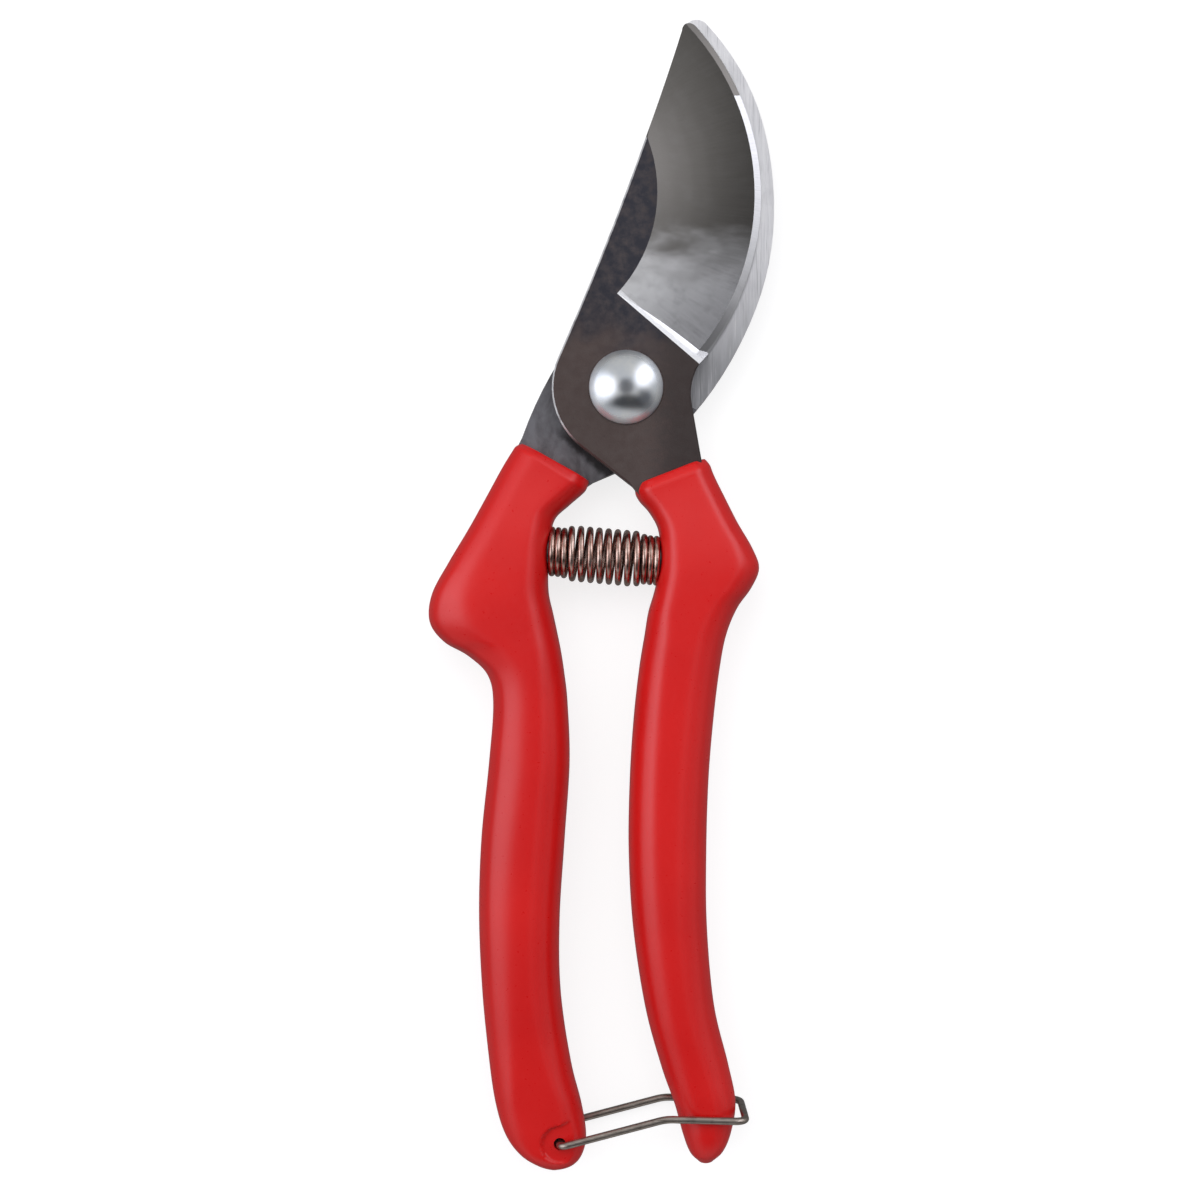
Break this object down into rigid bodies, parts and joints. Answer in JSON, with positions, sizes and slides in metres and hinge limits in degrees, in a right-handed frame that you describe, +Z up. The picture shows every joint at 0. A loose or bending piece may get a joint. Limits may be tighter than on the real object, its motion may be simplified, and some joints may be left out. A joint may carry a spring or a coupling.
{
  "type": "pruning shears",
  "caption": "Bypass pruning shears: curved cutting blade and hooked counter-blade on one pivot bolt, red moulded grips, coil return spring and hinged wire catch.",
  "frame": {"origin": "on the pivot bolt's axis, in the plane the shears lie on", "axes": "+Y towards the blade's tip, +Z up through the bolt's dome head, +X towards the blade half's handle"},
  "size_m": [0.0628, 0.2089, 0.0149],
  "materials": {
    "blade_steel": "dark forged scale, hollow-ground towards the edge",
    "hook_steel": "ground flat, dark scale near the grip",
    "grip_pvc": "semi-gloss moulded PVC",
    "zinc_plated": "bright zinc plating",
    "washer_steel": "plain oiled steel",
    "spring_steel": "drawn wire, heat-browned",
    "catch_steel": "bent drawn wire, satin"
  },
  "bodies": {
    "hook_half": {"hook_blade": "hook_steel", "hook_grip": "grip_pvc", "hook_spring_stud": "washer_steel", "return_spring": "spring_steel"},
    "blade_half": {"cutting_blade": "blade_steel", "blade_grip": "grip_pvc", "blade_spring_stud": "washer_steel", "pivot_bolt": "zinc_plated", "disc_washer": "washer_steel", "pivot_nut": "zinc_plated"},
    "catch": {"catch_wire": "catch_steel"}
  },
  "joints": [
    {"name": "pivot", "type": "hinge", "parent": "hook_half", "child": "blade_half", "pos_m": [0, 0, 0.00745], "axis": [0, 0, 1], "range_deg": [0, 24], "deforming": ["return_spring"]},
    {"name": "catch_hinge", "type": "hinge", "parent": "hook_half", "child": "catch", "pos_m": [-0.0119, -0.136, 0.00745], "axis": [0, 0, 1], "range_deg": [-240, 0]}
  ],
  "couplings": [
    {"joint": "catch_hinge", "follows": "pivot", "ratio": -10}
  ]
}
